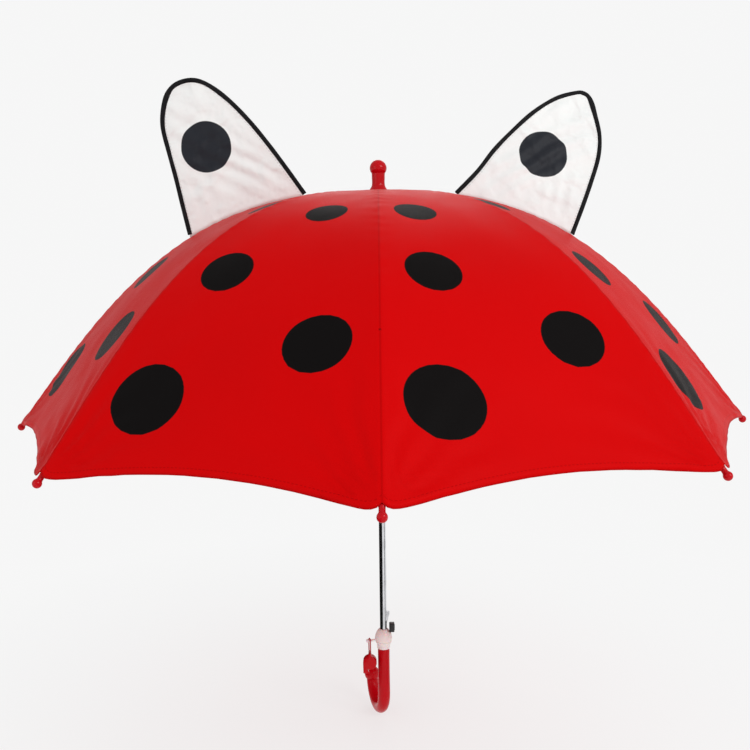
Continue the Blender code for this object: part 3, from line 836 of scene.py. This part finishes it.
def binding_mesh(side, material, lean):
    """Folded tape round the ear's wire, wide in the ear's plane, with a sewn groove, bunched at the tip."""
    line = ear_line(side)
    sections = []
    for i, point in enumerate(line):
        along = (line[min(i + 1, len(line) - 1)] - line[max(i - 1, 0)]).normalized()
        out = Vector((-along.z, 0, along.x))
        share = i / (len(line) - 1)
        bunch = 1 + 0.28 * math.exp(-((share - 0.60) / 0.05) ** 2)
        ripple = 1 + 0.10 * noise.noise(Vector((share * 17, 0, 1.0 if side == "left" else 6.0)))
        loop = []
        for angle in circle(16):
            wide = math.copysign(abs(math.cos(angle)) ** 0.8, math.cos(angle)) * BINDING[0] * bunch * ripple
            groove = 1 - 0.28 * math.exp(-((math.cos(angle) + 0.45) / 0.18) ** 2)
            loop.append(point + out * wide + SIDE * math.sin(angle) * BINDING[1] * groove)
        sections.append(loop)
    bm = swept(sections)
    bm.transform(lean)
    return finished(bm, f"ear_{side}_tape", material, angle=60)


def add_ears():
    cloth, tape = ear_material(), binding_material()
    for side, rib in EAR_RIB.items():
        angle = EAR_LEAN[side]
        lean = ear_lean(side, -angle if side == "left" else angle)
        body, turn = f"rib_{rib}", Matrix.Rotation(azimuth(rib - 1), 4, "Z")
        panel = piece(f"ear_{side}_cloth", ear_mesh(side, cloth, lean), body,
                      (f"ear_{side}",), turn)
        thicken(panel, EAR_THICKNESS, 0)
        trim = piece(f"ear_{side}_tape", binding_mesh(side, tape, lean), body,
                     (f"ear_trim_{side}",), turn)


# ---- ribs and stretchers
def flute(size, opening):
    """Outline of a fluted strip with rounded shoulders, as (sideways, out) pairs."""
    width, depth, wall = size
    half, top, bottom = width / 2, depth / 2 * -opening, depth / 2 * opening
    inner, ease = top + wall * opening, 0.22 * width
    right = [(half - ease, top), (half - ease * 0.35, top + ease * 0.35 * opening),
             (half, top + ease * opening), (half, bottom), (half - wall, bottom), (half - wall, inner)]
    left = [(-side, out) for side, out in right]
    return [*left[3::-1], *right, left[5], left[4]]


def section_at(point, normal, outline):
    return [point + SIDE * side + normal * out for side, out in outline]


def rib_mesh(material):
    outline = flute(FLUTE, -1)
    lug = RIB_PIVOT - Vector((RIB_LUG, 0, 0))
    sections = [section_at(lug, UP, outline), section_at(RIB_PIVOT, UP, outline)]
    for i in range(3, RIB_STATIONS + 1):
        radius = share_radius(i / RIB_STATIONS)
        sections.append(section_at(rib_centre(radius), dome_normal(radius), outline))
    end, along = rib_end()
    sections.append(section_at(end + along * RIB_INTO_TIP, dome_normal(RIM_RADIUS * FABRIC_END), outline))
    return finished(swept(sections), "rib", material)


def tip_mesh(material):
    """A moulded ball on a short neck with a lip, which the rib's end sits in."""
    ball, neck, bore, start, floor = 3.7, 2.3, 1.95, -7.9, -3.3
    profile = [(0, floor), (bore, floor), (bore, start), (2.45, start), (2.55, start + 0.3),
               (2.5, start + 0.7), (neck, start + 1.1), (neck, -3.6), (neck + 0.15, -3.1),
               *ball_end(ball, 0, -44, 134, 14)]
    return finished(turned([(r * MM, z * MM) for r, z in profile], 32), "rib_tip", material)


def tip_matrix():
    end, along = rib_end()
    return Matrix.Translation(end + along * TIP_BALL) @ along.to_track_quat("Z", "Y").to_matrix().to_4x4()


def stretcher_mesh(material):
    """A fluted strip with flattened eyes, from the runner to the rib, beside the rib's plane."""
    start, end = Vector((RUNNER_RADIUS, 0, RUNNER_HEIGHT)), joint_point()
    along = (end - start).normalized()
    normal = Vector((-along.z, 0, along.x))
    lug, reach = 1.2 * MM, (end - start).length
    sections = []
    for distance, share in ((-lug, 0.7), (0.4 * MM, 1), (reach / 3, 1), (2 * reach / 3, 1),
                            (reach - 0.4 * MM, 1), (reach + lug, 0.7)):
        width, depth, wall = STRETCHER_FLUTE
        outline = flute((width, depth * share, wall), 1)
        sections.append(section_at(start + along * distance + SIDE * STRETCHER_SIDE, normal, outline))
    return finished(swept(sections), "stretcher", material)


def rivet_mesh(material):
    """The pin of the joint between a rib's clip and its stretcher, with a domed head at each end."""
    low, high = -1.9, 5.1
    profile = [(0, low - 0.35), (0.6, low - 0.25), (0.85, low), (0.85, low + 0.3), (0.42, low + 0.35),
               (0.42, high - 0.35), (0.85, high - 0.3), (0.85, high), (0.6, high + 0.25), (0, high + 0.35)]
    bm = turned([(r * MM, z * MM) for r, z in profile], 16)
    bm.transform(Matrix.Translation(joint_point()) @ Matrix.Rotation(math.radians(-90), 4, "X"))
    return finished(bm, "rivet", material)


def ties_mesh(material):
    """Turns of thread that hold the canopy's seam to its rib."""
    parts = []
    for share in TIE_SHARES:
        radius = share_radius(share)
        for turn in (-0.6, 0.0, 0.6):
            centre = rib_centre(radius) + dome_tangent(radius) * turn * MM + dome_normal(radius) * 0.7 * MM
            out = dome_normal(radius)
            path = [centre + SIDE * math.cos(a) * 1.75 * MM + out * math.sin(a) * 2.0 * MM
                    for a in circle(14)]
            parts.append(tube(path, 0.28 * MM, 6, closed=True))
    return finished(joined(parts), "rib_ties", material)


def add_ribs(steel, red, thread):
    rib, tip, ties = rib_mesh(steel), tip_mesh(red), ties_mesh(thread)
    rivet, stretcher = rivet_mesh(steel), stretcher_mesh(steel)
    for number in range(RIBS):
        label = number + 1
        body, turn = f"rib_{label}", Matrix.Rotation(azimuth(number), 4, "Z")
        piece(f"rib_{label}_flute", rib, body, (f"rib_{label}",), turn)
        piece(f"rib_{label}_tip", tip, body, (f"rib_tip_{label}",), turn @ tip_matrix())
        piece(f"rib_{label}_ties", ties, body, (), turn)
        piece(f"rib_{label}_rivet", rivet, body, (), turn)
        piece(f"stretcher_{label}_flute", stretcher, f"stretcher_{label}",
              (f"stretcher_{label}",), turn)


def slot_ring(inner, outer, side, width, low, high):
    """Eight radial slots as one set of cutter boxes."""
    boxes = []
    for number in range(RIBS):
        cutter = rounded_box((inner, side - width / 2, low), (outer, side + width / 2, high), 0)
        cutter.transform(Matrix.Rotation(azimuth(number), 4, "Z"))
        boxes.append(cutter)
    return joined(boxes)


def add_notched(name, body, profile, slots, wire, black, steel):
    """A turned moulding with a slot for each bar, and the ring wire that the bars hang on."""
    moulding = carved(turned(profile, 56, closed=True), slots, f"{name}_notch", black)
    piece(f"{name}_notch", moulding, body, (name,))
    piece(f"{name}_wire", finished(ring(*wire, WIRE_RADIUS), f"{name}_wire", steel), body)


def add_crown(black, steel):
    low, high, bore = APEX / MM - 12, APEX / MM - 1.6, 3.8
    profile = [(bore, low), (5.6, low), (6.2, low + 0.4), (10.2, low + 1.8), (11.2, low + 2.8),
               (11.5, low + 3.6), (11.5, high - 1.4), (11.2, high - 0.6), (10.6, high), (bore, high)]
    slots = slot_ring(6.4 * MM, 14 * MM, 0, FLUTE[0] + SLOT_ROOM, (low - 1) * MM, (high + 1) * MM)
    add_notched("crown", "shaft", [(r * MM, z * MM) for r, z in profile], slots,
                (RIB_PIVOT.x, RIB_PIVOT.z), black, steel)


def add_runner(black, steel):
    profile = [(3.9, -14), (5.6, -14), (5.9, -13.7), (6.4, -12.8), (6.4, -11.2), (6.15, -11.0), (6.15, -10.4),
               (6.4, -10.2), (6.4, -6), (7.2, -5.6), (12.0, -4.0), (12.4, -3.4), (12.4, 3.0), (12.1, 3.5),
               (8.4, 4.3), (7.4, 4.8), (6.4, 6.4), (6.4, 7.4), (5.9, 8.2), (3.9, 8.2)]
    low, high = RUNNER_HEIGHT - 5.2 * MM, RUNNER_HEIGHT + 6 * MM
    slots = slot_ring(7.3 * MM, 15 * MM, STRETCHER_SIDE, STRETCHER_FLUTE[0] + SLOT_ROOM, low, high)
    add_notched("runner", "runner", [(r * MM, z * MM + RUNNER_HEIGHT) for r, z in profile], slots,
                (RUNNER_RADIUS, RUNNER_HEIGHT), black, steel)


# ---- shaft, finial and handle
def add_shaft(chrome):
    profile = [(SHAFT_BORE, SHAFT_BOTTOM), (SHAFT_RADIUS, SHAFT_BOTTOM), (SHAFT_RADIUS, SHAFT_TOP),
               (SHAFT_BORE, SHAFT_TOP)]
    windows = []
    for top in CATCH_TOPS:
        low, high = top - CATCH_HEIGHT - 1 * MM, top + 1 * MM
        windows.append(rounded_box((1.4 * MM, -1 * MM, low), (5 * MM, 1 * MM, high), 0))
    mesh = carved(turned(profile, 64, closed=True), joined(windows), "shaft_tube", chrome)
    piece("shaft_tube", mesh, "shaft", ("shaft",))


def add_finial(red):
    profile = [(0, 1.0), (8.9, 0.35), (9.3, 0.7), (9.2, 1.3), (8.5, 2.4), (7.6, 3.8), (6.8, 5.2), (6.35, 6.8),
               (6.2, 8.6), (6.2, 10.6), (6.3, 13.0), *ball_end(8.2, 22.6, -38, 128, 11)]
    mesh = finished(turned(smooth_profile(profile, 4), 64), "finial_knob", red)
    piece("finial_knob", mesh, "shaft", ("finial",), Matrix.Translation((0, 0, APEX)))


def hook_direction():
    return Vector((-math.sin(HOOK_TURN), math.cos(HOOK_TURN), 0))


def handle_stations():
    """Places, directions and radii down the grip, round the crook and over its end ball."""
    outward, down = hook_direction(), -UP
    centre = outward * HOOK_RADIUS + UP * HOOK_START
    top = ((0, 4.6), (0.25, 5.3), (0.8, 5.8), (1.6, 6.0), (8, 6.0), (16, 6.0), (24, 6.0))
    stations = [(UP * (HANDLE_TOP - drop * MM), down, radius * MM) for drop, radius in top]
    steps = 56
    for i in range(steps + 1):
        angle = HOOK_SWEEP * i / steps
        place = centre + (-outward * math.cos(angle) - UP * math.sin(angle)) * HOOK_RADIUS
        along = outward * math.sin(angle) - UP * math.cos(angle)
        stations.append((place, along, GRIP_RADIUS))
    place, along, _ = stations[-1]
    ball = place + along * HOOK_TIP
    for step in range(16):
        angle = math.radians(-44 + 132 * step / 15)
        distance = HOOK_BALL * math.sin(angle)
        stations.append((ball + along * distance, along, HOOK_BALL * math.cos(angle)))
    return stations


def add_handle(red):
    sides, outward = 48, hook_direction()
    across = outward.cross(UP)
    sections = []
    for place, along, radius in handle_stations():
        up = across.cross(along)
        loop = []
        for k, angle in enumerate(circle(sides)):
            parting = 0.1 * MM if k in (sides // 4, 3 * sides // 4) and radius > 2 * MM else 0.0
            loop.append(place + (across * math.cos(angle) + up * math.sin(angle)) * (radius + parting))
        sections.append(loop)
    piece("handle_crook", finished(swept(sections), "handle_crook", red), "shaft", ("handle",))


def peg_direction():
    return Vector((math.cos(PEG_ANGLE), math.sin(PEG_ANGLE), 0))


def add_collar(blush):
    """The pale collar, with a shadow line at its foot, and the whistle's peg."""
    bore = (SHAFT_RADIUS + GAP / 3) / MM
    outline = [(6.2, 24.9), (6.5, 25.2), (6.6, 26.4), (6.75, 28.2), (7.1, 29.9), (7.75, 31.2), (8.1, 31.9),
               (8.2, 32.4), (7.75, 32.65), (7.8, 33.0), (8.5, 33.3), (8.75, 34.5), (8.78, 36.4), (8.5, 38.3),
               (7.9, 40.4), (7.1, 42.1), (6.1, 43.7), (5.2, 44.8), (4.6, 45.4)]
    profile = [(bore * MM, 24.9 * MM), *smooth_profile(outline, 3), (bore * MM, 45.4 * MM)]
    pocket = rounded_box((SHAFT_RADIUS + 0.1 * MM, -3.6 * MM, 41.0 * MM), (15 * MM, 3.6 * MM, 50 * MM), 0)
    mesh = carved(turned(profile, 64, closed=True), pocket, "collar_shell", blush)
    piece("collar_shell", mesh, "shaft", ("collar",))
    peg = turned(smooth_profile([(0, 6), (1.2, 6.2), (1.15, 10), (1.15, 15.6), (1.25, 16.3), (1.8, 16.8),
                                 (1.95, 17.5), (1.7, 18.3), (0.9, 18.7), (0, 18.8)], 3), 24)
    place = Matrix.Translation(UP * PEG_HEIGHT) @ peg_direction().to_track_quat("Z", "Y").to_matrix().to_4x4()
    peg.transform(place)
    piece("collar_peg", finished(peg, "collar_peg", blush, angle=50), "shaft")


def add_button(black):
    """The push button: a softened block with three grip ridges on its outer face."""
    parts = [rounded_box(BUTTON_LOW, BUTTON_HIGH - Vector((0.35 * MM, 0, 0)), 0.9 * MM, 4)]
    for height in (44.8, 47.0, 49.2):
        low = Vector((10.6, -2.2, height - 0.4)) * MM
        high = Vector((11.6, 2.2, height + 0.4)) * MM
        parts.append(rounded_box(low, high, 0.3 * MM))
    mesh = finished(joined(parts), "button_cap", black, angle=50)
    piece("button_cap", mesh, "release_button", ("release_button",))


# ---- whistle
def cord_points(steps=14):
    """A loop over the peg and down to the whistle, open at the knot."""
    across = Vector((-math.sin(PEG_ANGLE), math.cos(PEG_ANGLE), 0))
    foot, quarter = -CORD_STRAND * UP, math.pi / 2 - CORD_GAP

    def bend(centre, start, sweep, count):
        angles = [start + sweep * i / count for i in range(count + 1)]
        return [centre + (across * math.cos(a) + UP * math.sin(a)) * CORD_LOOP for a in angles]

    rising = [foot * (1 - i / 8) + across * CORD_LOOP for i in range(1, 8)]
    falling = [foot * (1 - i / 8) - across * CORD_LOOP for i in range(7, 0, -1)]
    return [*bend(foot, -math.pi / 2 + CORD_GAP, quarter, steps), *rising,
            *bend(Vector(), 0, math.pi, 2 * steps), *falling, *bend(foot, math.pi, quarter, steps)]


def whistle_place():
    return peg_direction() * PEG_REACH + UP * PEG_HEIGHT


def add_cord():
    curve = bpy.data.curves.new("whistle_loop", "CURVE")
    curve.dimensions = "3D"
    curve.bevel_depth = CORD_RADIUS
    curve.bevel_resolution = 3
    curve.use_fill_caps = True
    curve.materials.append(cord_material())
    spline = curve.splines.new("POLY")
    points = [p + whistle_place() for p in cord_points()]
    spline.points.add(len(points) - 1)
    for held, point in zip(spline.points, points):
        held.co = (*point, 1)
    return piece("whistle_loop", curve, "whistle", ("whistle_cord",)), points


def knot_mesh(material):
    """The loop's knot: a trefoil of cord pulled tight."""
    centre = whistle_place() - UP * (CORD_STRAND + CORD_LOOP)
    path = []
    for t in circle(60):
        path.append(centre + Vector(((math.sin(t) + 2 * math.sin(2 * t)) * 0.36,
                                     (math.cos(t) - 2 * math.cos(2 * t)) * 0.36,
                                     -math.sin(3 * t) * 0.42)) * MM)
    return finished(tube(path, 0.5 * MM, 8, closed=True), "whistle_knot", material)


def arc(radius, height, first, last, count):
    angles = [math.radians(first + (last - first) * i / (count - 1)) for i in range(count)]
    return [Vector((radius * math.cos(a), 0, height + radius * math.sin(a))) for a in angles]


def whistle_mesh(red):
    """A flat-sided whistle with softened edges, a sound window and a mouthpiece."""
    top = -CORD_STRAND - CORD_LOOP - CORD_RADIUS - GAP
    middle, foot = top - WHISTLE_DROP, top - WHISTLE_LENGTH
    outline = [Vector((-WHISTLE_LUG, 0, top)), Vector((WHISTLE_LUG, 0, top)),
               *arc(WHISTLE_ROUND, middle, 74, -111.6, 40), Vector((-WHISTLE_LUG, 0, foot + 0.4 * MM)),
               Vector((-WHISTLE_LUG - 0.4 * MM, 0, foot)), Vector((-WHISTLE_MOUTH + 0.4 * MM, 0, foot)),
               Vector((-WHISTLE_MOUTH, 0, foot + 0.4 * MM)), *arc(WHISTLE_ROUND, middle, 180, 106, 18)]
    centre = Vector((0, 0, middle))
    sections = []
    for side, inset in ((-1, 0.09), (-0.97, 0.045), (-0.9, 0.015), (-0.8, 0), (0.8, 0), (0.9, 0.015),
                        (0.97, 0.045), (1, 0.09)):
        shift = SIDE * side * WHISTLE_HALF
        sections.append([p.lerp(centre, inset) + shift + whistle_place() for p in outline])
    base = whistle_place() + UP * middle
    window = rounded_box(base + Vector((-8.2, -2.6, -6.4)) * MM, base + Vector((-4.6, 2.6, -3.6)) * MM, 0)
    mouth = rounded_box(base + Vector((-5.9, -3.2, -12)) * MM, base + Vector((-2.2, 3.2, -8.6)) * MM, 0)
    return carved(swept(sections), joined([window, mouth]), "whistle_body", red, angle=40)


def add_whistle(red):
    cord, points = add_cord()
    knot = piece("whistle_knot", knot_mesh(cord.data.materials[0]), "whistle")
    body = piece("whistle_body", whistle_mesh(red), "whistle", ("whistle",))


# ---- studio
def add_floor():
    """A pale floor that fades into the backdrop away from the object."""
    low = CAD_BOX[0].z
    bm = bmesh.new()
    bmesh.ops.create_grid(bm, x_segments=8, y_segments=8, size=FLOOR_SIZE)
    made = bpy.data.materials.new("studio_floor")
    made.use_nodes = True
    tree = made.node_tree
    tree.nodes.clear()
    away = node(tree, "ShaderNodeVectorMath", {0: coordinates(tree)}, operation="LENGTH").outputs["Value"]
    fade = span(tree, away, 0.02, 0.7, 0.74, 1.0)
    grain = span(tree, cloud(tree, coordinates(tree), 3), 0.3, 0.7, 0.0, 1.0)
    tone = mixed(tree, grain, (0.93, 0.93, 0.93, 1), (0.95, 0.95, 0.95, 1))
    paper = node(tree, "ShaderNodeBsdfDiffuse", {0: tone})
    glow = node(tree, "ShaderNodeEmission", {0: (BACKDROP, BACKDROP, BACKDROP, 1), 1: 1.0})
    both = node(tree, "ShaderNodeMixShader", {0: fade, 1: paper.outputs[0], 2: glow.outputs[0]})
    node(tree, "ShaderNodeOutputMaterial", {0: both.outputs[0]})
    floor = add_object("studio_floor", finished(bm, "studio_floor", made, smooth=False))
    floor.location.z = low


def add_card(name, place, size):
    """A dark card beside the shaft that only mirrors see."""
    bm = bmesh.new()
    bmesh.ops.create_grid(bm, x_segments=1, y_segments=1, size=0.5)
    bm.transform(Matrix.Diagonal((size[0], size[1], 1, 1)))
    bm.transform(Matrix.Rotation(math.radians(90), 4, "Y") @ Matrix.Rotation(math.radians(90), 4, "Z"))
    made, _, _ = shader("studio_card", 1.0, Base_Color=(0.006, 0.007, 0.006, 1), Specular_IOR_Level=0.0)
    card = add_object(name, finished(bm, name, made, smooth=False))
    card.location = place
    card.visible_camera = card.visible_diffuse = card.visible_shadow = False


def add_world():
    world = bpy.data.worlds.new("studio")
    bpy.context.scene.world = world
    world.use_nodes = True
    tree = world.node_tree
    tree.nodes.clear()
    seen = node(tree, "ShaderNodeLightPath").outputs["Is Camera Ray"]
    strength = span(tree, seen, 0, 1, WORLD_LIGHT, BACKDROP)
    glow = node(tree, "ShaderNodeBackground", {0: (1, 1, 1, 1), 1: strength})
    node(tree, "ShaderNodeOutputWorld", {0: glow.outputs[0]})


def add_light(name, place, aim, size, power):
    data = bpy.data.lights.new(name, "AREA")
    data.size = size
    data.energy = power
    light = add_object(name, data)
    light.location = place
    light.rotation_euler = (Vector(aim) - Vector(place)).to_track_quat("-Z", "Y").to_euler()


def add_lights():
    add_light("key", (1.5, -1.6, 1.5), (0, 0, 0.3), 1.1, 26)
    add_light("fill", (-1.9, -1.5, 0.8), (0, 0, 0.3), 1.6, 7)
    add_light("back", (0.3, 1.9, 1.6), (0, 0, 0.3), 1.4, 12)


def carry_over(steel):
    """Gives the CAD nodes that stay their material."""
    names = ["open_catch", "closed_catch"] + [f"rib_clip_{number + 1}" for number in range(RIBS)]
    for name in names:
        held = frame["nodes"][name].data.materials
        held.clear()
        held.append(steel)


def main():
    bpy.context.scene.view_settings.view_transform = "Standard"
    add_camera()
    red = plastic_material("glossy_red", RED_PLASTIC, 0.16, RED_WORN, Specular_IOR_Level=0.13,
                           Coat_Weight=0.05, Coat_Roughness=0.05)
    black = plastic_material("moulded_black", BLACK_PLASTIC, 0.36, BLACK_WORN, 0.04 * MM)
    blush = plastic_material("blush_plastic", BLUSH_PLASTIC, 0.34, BLUSH_WORN, 0.02 * MM,
                             Subsurface_Weight=0.25, Subsurface_Scale=0.004)
    chrome = steel_material("plated_chrome", CHROME, 0.13, (900, 900, 25))
    steel = steel_material("fluted_steel", STEEL, 0.28, (260, 260, 260))
    add_whistle(red)
    canopy = add_canopy()
    add_ears()
    add_ribs(steel, red, canopy.data.materials[0])
    add_crown(black, steel)
    add_runner(black, steel)
    add_shaft(chrome)
    add_finial(red)
    add_handle(red)
    add_collar(blush)
    add_button(black)
    carry_over(steel)
    add_floor()
    add_card("card_left", (-0.07, -0.35, 0.1), (1.3, 0.29))
    add_card("card_right", (0.07, -0.032, 0.1), (0.03, 0.29))
    add_world()
    add_lights()


main()
